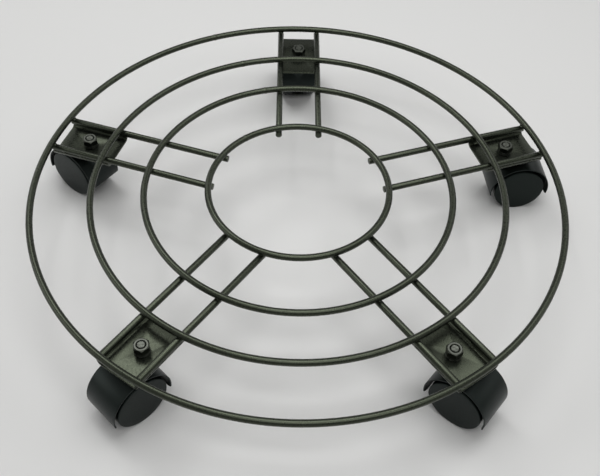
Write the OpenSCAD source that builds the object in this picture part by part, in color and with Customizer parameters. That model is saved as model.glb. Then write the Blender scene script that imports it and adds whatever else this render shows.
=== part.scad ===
// Round plant caddy: four hoops of round bar welded on five pairs of radial rods,
// with a pressed steel channel and a hooded twin-wheel caster under each pair.
// The origin is on the floor under the centre of the hoops, and +Z is up.

/* [Hoops] */
// Radius of the outer hoop, to the centre of its bar
ring_outer_r = 250; // [235:0.5:275]
// Radius of the second hoop
ring_second_r = 195.5; // [175:0.5:205]
// Radius of the third hoop
ring_third_r = 146; // [120:0.5:165]
// Radius of the inner hoop
ring_inner_r = 86; // [70:0.5:105]
// Diameter of the bar that the hoops and the rods are made of
bar_d = 6.35; // [5:0.05:8]
// How far a hoop sinks into each rod where it is welded
weld_set = 0.35; // [0.1:0.05:0.5]

/* [Rods] */
// Number of rod pairs, each with its bracket and caster
leg_count = 5; // [3:1:6]
// Distance between the two rods of a pair, centre to centre
rod_spacing = 40.3; // [38:0.1:48]
// How far the rods run on past the centre of the inner hoop's bar
rod_overhang = 6.6; // [4:0.1:15]

/* [Brackets] */
// Length of a bracket along its rods
bracket_len = 60; // [40:1:66]
// How far a bracket's outer end stops short of the outer hoop's centre
bracket_inset = 0.5; // [0:0.1:4]
// Thickness of the bracket's steel
steel_t = 2; // [1.5:0.1:2.5]
// Inner radius of the bend between a bracket's floor and its walls
bend_r = 3.6; // [1:0.1:6]
// Height of the straight wall above the bend
wall_straight = 0.6; // [0.2:0.1:8]
// Distance from a rod's centre line out to the inner face of the wall under it
wall_offset = 0.35; // [0:0.05:1]
// How far a rod sinks into the top of the wall that it is welded to
wall_set = 0.15; // [0.05:0.05:0.2]

/* [Fasteners] */
// Diameter of the threaded stem
stem_d = 8; // [6:0.5:9]
// Radial clearance of the stem in the bracket and the washers
hole_gap = 0.25; // [0.1:0.05:0.5]
// Radial clearance that stands for the thread engagement of the nut
thread_gap = 0.03; // [0.02:0.01:0.1]
// Height of the stem's end above the top of the nut
stem_proud = 0.2; // [0:0.1:3]
// Chamfer on the stem's end
stem_chamfer = 0.9; // [0.3:0.1:1.2]
// Width of the nut across its flats
nut_af = 13; // [13:0.5:16]
// Height of the nut
nut_h = 6.4; // [5:0.1:9]
// How far the round faces of the nut stay inside its flats
face_inset = 0.55; // [0.1:0.05:0.8]
// Angle at which the nut's corners are turned down, in degrees
corner_angle = 30; // [20:1:35]
// Depth of the countersink at each end of the nut's thread
countersink = 0.6; // [0.2:0.1:0.9]
// Outer diameter of the spring washer
spring_d = 13.4; // [12:0.1:16]
// Thickness of the spring washer
spring_t = 2; // [1.2:0.1:2.5]
// Opening between the ends of the spring washer
spring_mouth = 1.2; // [0.6:0.1:3]
// Slant of those ends, in degrees
spring_slant = 25; // [0:1:40]
// Outer diameter of the flat washer
washer_d = 14; // [13:0.5:20]
// Thickness of the flat washer
washer_t = 1.6; // [1:0.1:2.5]

/* [Wheels] */
// Diameter of a wheel
wheel_d = 51; // [46:1:58]
// Width of a wheel
wheel_w = 12.8; // [10:0.1:16]
// Thickness of the closed disc on the outside of a wheel
disc_t = 2; // [1.5:0.1:4]
// Thickness of the rim
rim_t = 3; // [2:0.1:5]
// Radius of the rounded shoulders of the tread
shoulder_r = 0.9; // [0.5:0.1:2.2]
// Radius of the hub
hub_r = 6.5; // [5.5:0.1:9]
// Number of ribs behind the disc
rib_count = 6; // [3:1:8]
// Thickness of a rib
rib_t = 1.6; // [1:0.1:3]
// How far the ribs stay below the open side of the wheel
rib_drop = 1.5; // [0.5:0.1:4]

/* [Axle] */
// Diameter of the axle
axle_d = 6; // [5:0.1:7]
// Thickness of wheel left outside the axle's bore
axle_cover = 2.2; // [1.5:0.1:4]
// Gap between the end of the axle and the end of the bore
axle_end_gap = 0.5; // [0.3:0.1:1]
// Chamfer on the ends of the axle
axle_chamfer = 0.5; // [0.2:0.1:1]
// Radial clearance of the axle in the hood
press_gap = 0.02; // [0.01:0.01:0.03]
// Radial running clearance of a wheel on the axle
run_gap = 0.06; // [0.03:0.01:0.09]
// Distance from the end of the axle to its snap groove
snap_inset = 2; // [1.5:0.1:3]
// Width of the snap groove
snap_w = 1.6; // [1.2:0.1:2]
// Depth of the snap groove
snap_depth = 0.6; // [0.5:0.05:0.8]
// Height of the bead in the wheel that snaps into the groove
bead_h = 0.28; // [0.15:0.01:0.3]

/* [Hood] */
// Distance of the axle behind the stem's axis
trail = 19.1; // [16:0.1:24]
// Gap between the tread and the inside of the hood
hood_gap = 2.7; // [1.5:0.1:4]
// Thickness of the hood's shell
hood_t = 2; // [1.5:0.1:3]
// How far the hood reaches below the axle's centre
skirt_drop = 5.3; // [3:0.1:9]
// Gap between the top of the hood and the bracket
hood_clear = 6.3; // [5:0.1:12]
// How far the hood's rims stand out past the wheels
rim_proud = 0.3; // [0:0.1:2]
// Thickness of the web between the wheels
web_t = 11; // [10:0.1:13]
// Gap between a wheel and the web
wheel_gap = 0.4; // [0.3:0.1:1]
// Radius of the boss round the axle
axle_boss_r = 8; // [6:0.1:10]
// Radius of the boss round the stem
socket_r = 8; // [7.6:0.1:10]
// Depth of the stem's socket
socket_depth = 22; // [15:0.5:26]
// Thickness of plastic left under the socket
socket_floor = 3; // [2:0.1:5]

/* [Stem] */
// Width of the stem's hexagonal collar across its flats
hex_af = 14; // [11:0.5:17]
// Thickness of that collar
hex_t = 2.5; // [2:0.1:4]
// Gap between the collar and the hood
swivel_gap = 0.3; // [0.2:0.05:0.6]
// Radial running clearance of the stem in its socket
stem_gap = 0.05; // [0.02:0.01:0.09]
// Gap under the stem at the bottom of the socket
stem_end_gap = 0.8; // [0.3:0.1:2]
// Depth of the retaining clip below the top of the socket
clip_depth = 6; // [4:0.5:9]
// Thickness of the retaining clip
clip_t = 1; // [0.8:0.1:1.4]
// Radial thickness of the retaining clip
clip_w = 1.4; // [1.2:0.1:1.6]
// Depth of the groove in the stem that the clip sits in
clip_groove = 0.8; // [0.5:0.05:1]
// Opening of the clip, in degrees
clip_mouth = 60; // [30:5:120]

/* [Swivel of each caster at rest, in degrees from straight outwards] */
// Caster 1, at the back
swivel_1 = 4.5; // [-180:0.5:180]
// Caster 2, at the left
swivel_2 = -19.5; // [-180:0.5:180]
// Caster 3, at the front left
swivel_3 = -9.5; // [-180:0.5:180]
// Caster 4, at the front right
swivel_4 = 15; // [-180:0.5:180]
// Caster 5, at the right
swivel_5 = -13; // [-180:0.5:180]

/* [Turn of each nut on its stem, in degrees from a corner straight outwards] */
// Nut 1, at the back
nut_turn_1 = 31; // [-60:1:60]
// Nut 2, at the left
nut_turn_2 = 2; // [-60:1:60]
// Nut 3, at the front left
nut_turn_3 = -14; // [-60:1:60]
// Nut 4, at the front right
nut_turn_4 = 26; // [-60:1:60]
// Nut 5, at the right
nut_turn_5 = 17; // [-60:1:60]

/* [Hidden] */
LEGS = [1 : leg_count];
SIDES = ["left", "right"];

FRAME_BLACK = [0.17, 0.18, 0.16];
CASTER_BLACK = [0.10, 0.11, 0.11];
ZINC = [0.62, 0.62, 0.58];

first_leg = 90;
swivels = [swivel_1, swivel_2, swivel_3, swivel_4, swivel_5];
nut_turns = [nut_turn_1, nut_turn_2, nut_turn_3, nut_turn_4, nut_turn_5];
fine = 96;
cut = 1;
bend_steps = 8;
shoulder_steps = 5;

bar_r = bar_d / 2;
wheel_r = wheel_d / 2;
axle_r = axle_d / 2;
stem_r = stem_d / 2;

// Heights, from the floor up
axle_z = wheel_r;
hood_in_r = wheel_r + hood_gap;
hood_r = hood_in_r + hood_t;
bracket_z = axle_z + hood_r + hood_clear;
floor_top = bracket_z + steel_t;
spring_z = floor_top + washer_t;
nut_z = spring_z + spring_t;
nut_top = nut_z + nut_h;
wall_top = steel_t + bend_r + wall_straight;
rod_z = bracket_z + wall_top + bar_r - wall_set;
ring_z = rod_z + bar_d - weld_set;

// Plan
rod_inner_x = ring_inner_r - rod_overhang;
rod_outer_x = sqrt(pow(ring_outer_r, 2) - pow(rod_spacing / 2, 2));
bracket_x = ring_outer_r - bracket_inset - bracket_len;
caster_x = bracket_x + bracket_len / 2;
wall_in_y = rod_spacing / 2 + wall_offset;
wall_out_y = wall_in_y + steel_t;

// Caster
web_half = web_t / 2;
wheel_in_y = web_half + wheel_gap;
wheel_out_y = wheel_in_y + wheel_w;
hood_half = wheel_out_y + rim_proud;
axle_half = wheel_out_y - axle_cover - axle_end_gap;
socket_top = bracket_z - hex_t - swivel_gap;
socket_bottom = socket_top - socket_depth;
clip_z = socket_top - clip_depth;
groove_r = stem_r - clip_groove;
clip_out_r = groove_r + clip_w;
clip_room = 0.3;

function arc_points(centre, r, from, to, steps) =
    [for (k = [0 : steps])
        let (a = from + (to - from) * k / steps)
        [centre[0] + r * cos(a), centre[1] + r * sin(a)]];

function side_sign(side) = side == "left" ? 1 : -1;

// Placing

module at_leg(leg) {
    rotate([0, 0, first_leg + (leg - 1) * 360 / leg_count]) children();
}

module at_stem(leg) {
    at_leg(leg) translate([caster_x, 0, 0]) children();
}

module at_caster(leg) {
    at_stem(leg) rotate([0, 0, swivels[(leg - 1) % len(swivels)]]) children();
}

module along_axle(leg) {
    at_caster(leg) translate([trail, 0, axle_z]) rotate([-90, 0, 0]) children();
}

// Frame

module hoop(r) {
    color(FRAME_BLACK)
        translate([0, 0, ring_z])
            rotate_extrude($fn = fine)
                translate([r, 0]) circle(d = bar_d, $fn = fine);
}

module rod(leg, side) {
    color(FRAME_BLACK)
        at_leg(leg)
            translate([rod_inner_x, side_sign(side) * rod_spacing / 2, rod_z])
                rotate([0, 90, 0])
                    cylinder(d = bar_d, h = rod_outer_x - rod_inner_x, $fn = fine);
}

module channel_profile() {
    bend_y = wall_in_y - bend_r;
    bend_z = steel_t + bend_r;
    outer_r = bend_r + steel_t;
    polygon(concat(
        [[-wall_out_y, wall_top]],
        arc_points([-bend_y, bend_z], outer_r, 180, 270, bend_steps),
        arc_points([bend_y, bend_z], outer_r, 270, 360, bend_steps),
        [[wall_out_y, wall_top], [wall_in_y, wall_top]],
        arc_points([bend_y, bend_z], bend_r, 360, 270, bend_steps),
        arc_points([-bend_y, bend_z], bend_r, 270, 180, bend_steps),
        [[-wall_in_y, wall_top]]
    ));
}

module bracket(leg) {
    color(FRAME_BLACK) difference() {
        at_leg(leg)
            translate([bracket_x, 0, bracket_z])
                rotate([90, 0, 90])
                    linear_extrude(bracket_len) channel_profile();
        at_stem(leg)
            translate([0, 0, bracket_z - cut])
                cylinder(r = stem_r + hole_gap, h = steel_t + 2 * cut, $fn = fine);
    }
}

// Fasteners on the stems

module washers() {
    color(ZINC) for (leg = LEGS) at_stem(leg) translate([0, 0, floor_top]) difference() {
        cylinder(d = washer_d, h = washer_t, $fn = fine);
        translate([0, 0, -cut])
            cylinder(r = stem_r + hole_gap, h = washer_t + 2 * cut, $fn = fine);
    }
}

module spring_washers() {
    hole_r = stem_r + hole_gap;
    ring_w = spring_d / 2 - hole_r;
    color(ZINC) for (leg = LEGS) at_stem(leg) translate([0, 0, spring_z]) difference() {
        cylinder(d = spring_d, h = spring_t, $fn = fine);
        translate([0, 0, -cut])
            cylinder(r = hole_r, h = spring_t + 2 * cut, $fn = fine);
        translate([hole_r + ring_w / 2, 0, spring_t / 2])
            rotate([spring_slant, 0, 0])
                cube([ring_w + 2 * cut, spring_mouth, 3 * spring_t], center = true);
    }
}

module nuts() {
    thread_r = stem_r + thread_gap;
    face_r = nut_af / 2 - face_inset;
    corner_r = nut_af / 2 / cos(30);
    reach = corner_r - face_r + cut;
    turned = reach * tan(corner_angle);
    color(ZINC) for (leg = LEGS) at_stem(leg) translate([0, 0, nut_z]) difference() {
        intersection() {
            rotate([0, 0, nut_turns[(leg - 1) % len(nut_turns)]])
                cylinder(r = corner_r, h = nut_h, $fn = 6);
            rotate_extrude($fn = fine)
                polygon([
                    [0, 0], [face_r, 0], [face_r + reach, turned],
                    [face_r + reach, nut_h - turned], [face_r, nut_h], [0, nut_h]
                ]);
        }
        translate([0, 0, -cut])
            cylinder(r = thread_r, h = nut_h + 2 * cut, $fn = fine);
        translate([0, 0, -cut])
            cylinder(
                r1 = thread_r + countersink + cut, r2 = thread_r,
                h = countersink + cut, $fn = fine
            );
        translate([0, 0, nut_h - countersink])
            cylinder(
                r1 = thread_r, r2 = thread_r + countersink + cut,
                h = countersink + cut, $fn = fine
            );
    }
}

module stem_clips() {
    color(ZINC) for (leg = LEGS) at_stem(leg)
        translate([0, 0, clip_z])
            rotate([0, 0, clip_mouth / 2])
                rotate_extrude(angle = 360 - clip_mouth, $fn = fine)
                    translate([groove_r + thread_gap, 0])
                        square([clip_w - thread_gap, clip_t]);
}

// Caster

module stem(leg) {
    spigot_z = socket_bottom + stem_end_gap;
    stem_top = nut_top + stem_proud;
    color(ZINC) at_stem(leg) difference() {
        union() {
            translate([0, 0, spigot_z])
                cylinder(r = stem_r, h = stem_top - stem_chamfer - spigot_z, $fn = fine);
            translate([0, 0, stem_top - stem_chamfer])
                cylinder(r1 = stem_r, r2 = stem_r - stem_chamfer, h = stem_chamfer, $fn = fine);
            translate([0, 0, bracket_z - hex_t])
                cylinder(d = hex_af / cos(30), h = hex_t, $fn = 6);
        }
        translate([0, 0, clip_z - thread_gap]) difference() {
            cylinder(r = stem_r + cut, h = clip_t + 2 * thread_gap, $fn = fine);
            translate([0, 0, -cut])
                cylinder(r = groove_r, h = clip_t + 3 * cut, $fn = fine);
        }
    }
}

module hood_solid() {
    difference() {
        translate([trail, 0, axle_z])
            rotate([90, 0, 0])
                cylinder(r = hood_r, h = 2 * hood_half, center = true, $fn = fine);
        translate([trail - hood_r - cut, -hood_half - cut, axle_z - hood_r - cut])
            cube([2 * (hood_r + cut), 2 * (hood_half + cut), hood_r - skirt_drop + cut]);
    }
    translate([trail, 0, axle_z])
        rotate([90, 0, 0])
            cylinder(r = axle_boss_r, h = web_t, center = true, $fn = fine);
    translate([0, 0, socket_bottom - socket_floor])
        cylinder(r = socket_r, h = socket_depth + socket_floor, $fn = fine);
}

module wheel_pocket(side) {
    pocket_w = hood_half - web_half + cut;
    translate([trail, side_sign(side) * (web_half + pocket_w / 2), axle_z])
        rotate([90, 0, 0])
            cylinder(r = hood_in_r, h = pocket_w, center = true, $fn = fine);
}

module hood(leg) {
    color(CASTER_BLACK) at_caster(leg) difference() {
        hood_solid();
        for (side = SIDES) wheel_pocket(side);
        translate([0, 0, socket_bottom])
            cylinder(r = stem_r + stem_gap, h = socket_depth + cut, $fn = fine);
        translate([0, 0, clip_z - clip_room])
            cylinder(r = clip_out_r + clip_room, h = clip_t + 2 * clip_room, $fn = fine);
        translate([trail, 0, axle_z])
            rotate([90, 0, 0])
                cylinder(r = axle_r + press_gap, h = web_t + 2 * cut, center = true, $fn = fine);
    }
}

module axle(leg) {
    snap_from = axle_half - snap_inset - snap_w;
    snap_to = axle_half - snap_inset;
    half = [
        [axle_r, snap_from], [axle_r - snap_depth, snap_from],
        [axle_r - snap_depth, snap_to], [axle_r, snap_to],
        [axle_r, axle_half - axle_chamfer], [axle_r - axle_chamfer, axle_half], [0, axle_half]
    ];
    other_half = [for (k = [len(half) - 1 : -1 : 0]) [half[k][0], -half[k][1]]];
    color(ZINC) along_axle(leg)
        rotate_extrude($fn = fine) polygon(concat(other_half, half));
}

module wheel_profile() {
    bore_r = axle_r + run_gap;
    bore_end = wheel_w - axle_cover;
    recess = wheel_w - disc_t;
    bead_mid = axle_half - snap_inset - snap_w / 2 - wheel_in_y;
    bead_half = snap_w / 4;
    tread_r = wheel_r - shoulder_r;
    polygon(concat(
        [[0, wheel_w], [0, bore_end], [bore_r, bore_end],
         [bore_r, bead_mid + bead_half], [bore_r - bead_h, bead_mid + bead_half / 2],
         [bore_r - bead_h, bead_mid - bead_half / 2], [bore_r, bead_mid - bead_half],
         [bore_r, 0], [hub_r, 0], [hub_r, recess], [wheel_r - rim_t, recess],
         [wheel_r - rim_t, 0]],
        arc_points([tread_r, shoulder_r], shoulder_r, -90, 0, shoulder_steps),
        arc_points([tread_r, wheel_w - shoulder_r], shoulder_r, 0, 90, shoulder_steps)
    ));
}

module wheel(leg, side) {
    rib_from = hub_r - rib_t / 2;
    rib_to = wheel_r - rim_t / 2;
    color(CASTER_BLACK) along_axle(leg)
        mirror([0, 0, side_sign(side) > 0 ? 0 : 1])
            translate([0, 0, wheel_in_y]) {
                rotate_extrude($fn = fine) wheel_profile();
                for (k = [0 : rib_count - 1])
                    rotate([0, 0, k * 360 / rib_count])
                        translate([rib_from, -rib_t / 2, rib_drop])
                            cube([rib_to - rib_from, rib_t, wheel_w - disc_t / 2 - rib_drop]);
            }
}

hoop(ring_outer_r);  // ring_outer
hoop(ring_second_r);  // ring_second
hoop(ring_third_r);  // ring_third
hoop(ring_inner_r);  // ring_inner
washers();
spring_washers();
nuts();
stem_clips();
for (leg = LEGS) {
    bracket(leg);
    stem(leg);
    hood(leg);
    axle(leg);
    for (side = SIDES) {
        rod(leg, side);
        wheel(leg, side);
    }
}
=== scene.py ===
"""Looks of a round plant caddy: painted hoops and rods on five hooded twin-wheel casters.

Sizes are in millimetres and angles in degrees in the classes, and meshes are in metres. The
origin is on the floor under the centre of the hoops, +Z is up, and +Y runs to the caster at
the back.
"""

import logging
import math
from dataclasses import dataclass, field, replace
from enum import Enum
from functools import cache
from typing import Sequence

import bmesh
import bpy
from bpy.types import Material, Mesh, Node, NodeSocket, NodeTree
from mathutils import Matrix, Vector


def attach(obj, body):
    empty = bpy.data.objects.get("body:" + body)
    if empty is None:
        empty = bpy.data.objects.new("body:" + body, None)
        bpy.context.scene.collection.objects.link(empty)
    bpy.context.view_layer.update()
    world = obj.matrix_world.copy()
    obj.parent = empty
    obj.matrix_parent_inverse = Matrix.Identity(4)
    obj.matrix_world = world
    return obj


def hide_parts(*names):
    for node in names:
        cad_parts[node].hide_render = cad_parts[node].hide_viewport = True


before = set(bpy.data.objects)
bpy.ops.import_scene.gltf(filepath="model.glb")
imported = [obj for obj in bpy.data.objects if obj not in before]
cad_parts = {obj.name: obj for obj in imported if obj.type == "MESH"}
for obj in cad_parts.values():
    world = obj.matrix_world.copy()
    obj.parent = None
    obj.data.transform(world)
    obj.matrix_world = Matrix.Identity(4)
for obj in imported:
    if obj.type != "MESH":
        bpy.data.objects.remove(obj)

LOG = logging.getLogger("plant_caddy")
MM = 0.001
CREASE = 40.0
EDGE_MID = 0.3
NODE_STEP = 180

Colour = tuple[float, float, float]
Profile = list[tuple[float, float]]
Row = list[Vector]


class Leg(Enum):
    """The five legs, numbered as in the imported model."""

    BACK = 1
    LEFT = 2
    FRONT_LEFT = 3
    FRONT_RIGHT = 4
    RIGHT = 5


class Side(Enum):
    """The two sides of a leg, seen looking outwards along it."""

    LEFT = 1
    RIGHT = -1

    @property
    def word(self) -> str:
        """The side's name in lower case, as node names have it."""
        return self.name.lower()


class Hoop(Enum):
    """The four hoops, by the names of their nodes."""

    OUTER = "ring_outer"
    SECOND = "ring_second"
    THIRD = "ring_third"
    INNER = "ring_inner"


class Grade(Enum):
    """How many facets go round a round form."""

    CUTTER = 120
    FINE = 96
    MEDIUM = 64
    HOLE = 60
    BAR = 24

    @property
    def angles(self) -> list[float]:
        """Angles of the facets' edges, in radians from +X round."""
        return [math.tau * k / self.value for k in range(self.value)]


def polar(radius: float, angle: float, z: float) -> Vector:
    """Point at a radius and an angle in radians about the Z axis, and at a height."""
    return Vector((radius * math.cos(angle), radius * math.sin(angle), z))


def turn(degrees: float, axis: str = "Z") -> Matrix:
    """Matrix of a turn about an axis through the origin."""
    return Matrix.Rotation(math.radians(degrees), 4, axis)


def shift(x: float, y: float, z: float) -> Matrix:
    """Matrix of a shift that is given in millimetres."""
    return Matrix.Translation(Vector((x, y, z)) * MM)


@dataclass(frozen=True)
class CaddySizes:
    """Sizes of the whole caddy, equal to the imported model's."""

    hoop_radius: dict[Hoop, float] = field(
        default_factory=lambda: dict(zip(Hoop, (250.0, 195.5, 146.0, 86.0)))
    )
    bar_radius: float = 3.175
    weld_set: float = 0.35
    rod_offset: float = 20.15
    rod_start: float = 79.4
    rod_z: float = 71.225
    stem_x: float = 219.5
    stem_radius: float = 4.0
    hole_gap: float = 0.25
    bracket_z: float = 62.0
    steel: float = 2.0
    washer_h: float = 1.6
    spring_h: float = 2.0
    nut_h: float = 6.4
    socket_top: float = 59.2
    socket_depth: float = 22.0
    trail: float = 19.1
    wheel_radius: float = 25.5
    wheel_w: float = 12.8
    wheel_gap: float = 0.4
    web_half: float = 5.5
    hood_half: float = 19.0
    swivels: dict[Leg, float] = field(
        default_factory=lambda: dict(zip(Leg, (4.5, -19.5, -9.5, 15.0, -13.0)))
    )
    nut_turns: dict[Leg, float] = field(
        default_factory=lambda: dict(zip(Leg, (31.0, 2.0, -14.0, 26.0, 17.0)))
    )

    @property
    def hoop_z(self) -> float:
        """Height of the hoops' centre line."""
        return self.rod_z + 2 * self.bar_radius - self.weld_set

    @property
    def hole_radius(self) -> float:
        """Radius of the stem's hole in the brackets and the washers."""
        return self.stem_radius + self.hole_gap

    @property
    def floor_top(self) -> float:
        """Height of the top of a bracket's floor."""
        return self.bracket_z + self.steel

    @property
    def spring_z(self) -> float:
        """Height of the underside of a spring washer."""
        return self.floor_top + self.washer_h

    @property
    def nut_z(self) -> float:
        """Height of the underside of a nut."""
        return self.spring_z + self.spring_h

    @property
    def nut_top(self) -> float:
        """Height of the top of a nut."""
        return self.nut_z + self.nut_h

    def crossing(self, hoop: Hoop) -> float:
        """Distance along a leg at which its rods pass under the middle of a hoop's bar."""
        return math.sqrt(self.hoop_radius[hoop] ** 2 - self.rod_offset**2)

    def leg_place(self, leg: Leg) -> Matrix:
        """Matrix from a leg's own frame, with X outwards from the centre, to the row frame."""
        return turn(90 + 360 / len(Leg) * (leg.value - 1))

    def stem_place(self, leg: Leg) -> Matrix:
        """Matrix from a frame on the stem's axis at floor level to the row frame."""
        return self.leg_place(leg) @ shift(self.stem_x, 0, 0)

    def caster_place(self, leg: Leg) -> Matrix:
        """Matrix from a caster's own frame, with X the way that it trails, to the row frame."""
        return self.stem_place(leg) @ turn(self.swivels[leg])


class MeshWork:
    """Makes meshes from rows of points, and cuts, joins and rounds them."""

    @staticmethod
    def smooth(mesh: Mesh, crease: float = CREASE) -> Mesh:
        """Shades a mesh smooth and keeps its hard edges.

        Args:
            mesh: The mesh.
            crease: Angle from which an edge stays sharp.

        Returns:
            The same mesh.
        """
        mesh.polygons.foreach_set("use_smooth", [True] * len(mesh.polygons))
        mesh.set_sharp_from_angle(angle=math.radians(crease))
        return mesh

    @staticmethod
    def to_mesh(name: str, bm: bmesh.types.BMesh, crease: float = CREASE) -> Mesh:
        """Turns a bmesh in millimetres into a mesh, and frees it.

        Args:
            name: Name of the mesh.
            bm: The bmesh.
            crease: Angle from which an edge stays sharp.

        Returns:
            The mesh.
        """
        bmesh.ops.recalc_face_normals(bm, faces=bm.faces)
        bmesh.ops.scale(bm, vec=(MM, MM, MM), verts=bm.verts)
        mesh = bpy.data.meshes.new(name)
        bm.to_mesh(mesh)
        bm.free()
        return MeshWork.smooth(mesh, crease)

    @staticmethod
    def ring(radius: float, z: float, grade: Grade) -> Row:
        """Points of a level circle about the Z axis, from +X round."""
        return [polar(radius, angle, z) for angle in grade.angles]

    @staticmethod
    def arc(centre: tuple[float, float], radius: float, start: float, end: float, steps: int) -> Profile:
        """Points of an arc from one angle to another, one more than the steps between them."""
        angles = [math.radians(start + (end - start) * k / steps) for k in range(steps + 1)]
        return [(centre[0] + radius * math.cos(a), centre[1] + radius * math.sin(a)) for a in angles]

    @staticmethod
    def edge(radius: float, z: float, width: float, up: int) -> Profile:
        """Outer edge of a turned form, broken by a narrow round.

        Args:
            radius: Radius of the form.
            z: Height of its end face.
            width: Width of the round.
            up: 1 at the lower end of the form, -1 at its upper end.

        Returns:
            Three points of the form's profile, from below upwards.
        """
        mid = EDGE_MID * width
        points = [(radius - width, z), (radius - mid, z + up * mid), (radius, z + up * width)]
        return points[::up]

    @staticmethod
    def loft(
        name: str,
        rows: Sequence[Row],
        joined: bool = False,
        crease: float = CREASE,
        poles: Sequence[float] = (),
    ) -> Mesh:
        """Makes a skin over closed rows of points.

        Args:
            name: Name of the mesh.
            rows: Rows with the same number of points each.
            joined: True to join the last row to the first, False to close both ends.
            crease: Angle from which an edge stays sharp.
            poles: Heights of the points on the Z axis that close the two ends as cones. Without
                them the ends are flat.

        Returns:
            The mesh.
        """
        bm = bmesh.new()
        made = [[bm.verts.new(point) for point in row] for row in rows]
        count = len(made[0])
        steps = [(k, (k + 1) % count) for k in range(count)]
        for low, high in zip(made, made[1:] + (made[:1] if joined else [])):
            for k, n in steps:
                bm.faces.new((low[k], low[n], high[n], high[k]))
        ends = () if joined else (made[0], made[-1])
        for row, z in zip(ends, poles):
            pole = bm.verts.new((0, 0, z))
            for k, n in steps:
                bm.faces.new((row[k], row[n], pole))
        for row in () if poles else ends:
            bm.faces.new(row)
        return MeshWork.to_mesh(name, bm, crease)

    @staticmethod
    def lathe(name: str, profile: Profile, grade: Grade = Grade.FINE, crease: float = CREASE) -> Mesh:
        """Turns a profile about the Z axis.

        Args:
            name: Name of the mesh.
            profile: Radius and height of each point. A profile that starts on the axis also
                ends on it, and any other is closed into a ring.
            grade: Number of facets round the axis.
            crease: Angle from which an edge stays sharp.

        Returns:
            The mesh.
        """
        poles = [z for r, z in profile if r == 0]
        rows = [MeshWork.ring(r, z, grade) for r, z in profile if r > 0]
        return MeshWork.loft(name, rows, not poles, crease, poles)

    @staticmethod
    def extrude(name: str, outline: Profile, low: float, high: float) -> Mesh:
        """Makes a prism from one height to another, with an outline in X and Y."""
        return MeshWork.loft(name, [[Vector((x, y, z)) for x, y in outline] for z in (low, high)])

    @staticmethod
    def rod(name: str, radius: float, low: float, high: float, grade: Grade) -> Mesh:
        """Makes a round rod about the Z axis from one height to another, which cuts a hole."""
        return MeshWork.loft(name, [MeshWork.ring(radius, z, grade) for z in (low, high)])

    @staticmethod
    def moved(mesh: Mesh, matrix: Matrix) -> Mesh:
        """Moves a mesh's points by a matrix, and returns the mesh."""
        mesh.transform(matrix)
        return mesh

    @staticmethod
    def baked(mesh: Mesh, kind: str, **settings: object) -> Mesh:
        """Puts a mesh through a modifier.

        Args:
            mesh: The mesh.
            kind: Blender's name for the kind of modifier.
            **settings: Settings of the modifier.

        Returns:
            A new mesh that has it applied.
        """
        holder = bpy.data.objects.new("holder", mesh)
        bpy.context.scene.collection.objects.link(holder)
        modifier = holder.modifiers.new(kind.lower(), kind)
        for key, value in settings.items():
            setattr(modifier, key, value)
        graph = bpy.context.evaluated_depsgraph_get()
        result = bpy.data.meshes.new_from_object(holder.evaluated_get(graph))
        result.name = mesh.name
        bpy.data.objects.remove(holder)
        return result

    @staticmethod
    def combined(mesh: Mesh, other: Mesh, operation: str) -> Mesh:
        """Joins two closed meshes, or cuts one with the other.

        Args:
            mesh: The first mesh.
            other: The second mesh.
            operation: UNION or DIFFERENCE.

        Returns:
            The new mesh.
        """
        tool = bpy.data.objects.new("tool", other)
        bpy.context.scene.collection.objects.link(tool)
        result = MeshWork.baked(mesh, "BOOLEAN", object=tool, operation=operation, solver="EXACT")
        bpy.data.objects.remove(tool)
        return result

    @staticmethod
    def rounded(mesh: Mesh, width: float, segments: int, angle: float = CREASE) -> Mesh:
        """Rounds a mesh's hard edges.

        Args:
            mesh: The mesh.
            width: Width of the rounding.
            segments: Steps across it.
            angle: Angle from which an edge is rounded.

        Returns:
            The new mesh.
        """
        result = MeshWork.baked(
            mesh,
            "BEVEL",
            width=width * MM,
            segments=segments,
            limit_method="ANGLE",
            angle_limit=math.radians(angle),
            use_clamp_overlap=True,
            harden_normals=False,
        )
        return MeshWork.smooth(result, angle)

    @staticmethod
    def joined(name: str, parts: Sequence[tuple[Mesh, Matrix]], crease: float = CREASE) -> Mesh:
        """Copies several meshes into one.

        Args:
            name: Name of the new mesh.
            parts: Each mesh with its place.
            crease: Angle from which an edge stays sharp.

        Returns:
            The new mesh.
        """
        bm = bmesh.new()
        for mesh, place in parts:
            copy = mesh.copy()
            copy.transform(place)
            bm.from_mesh(copy)
            bpy.data.meshes.remove(copy)
        result = bpy.data.meshes.new(name)
        bm.to_mesh(result)
        bm.free()
        return MeshWork.smooth(result, crease)


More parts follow.
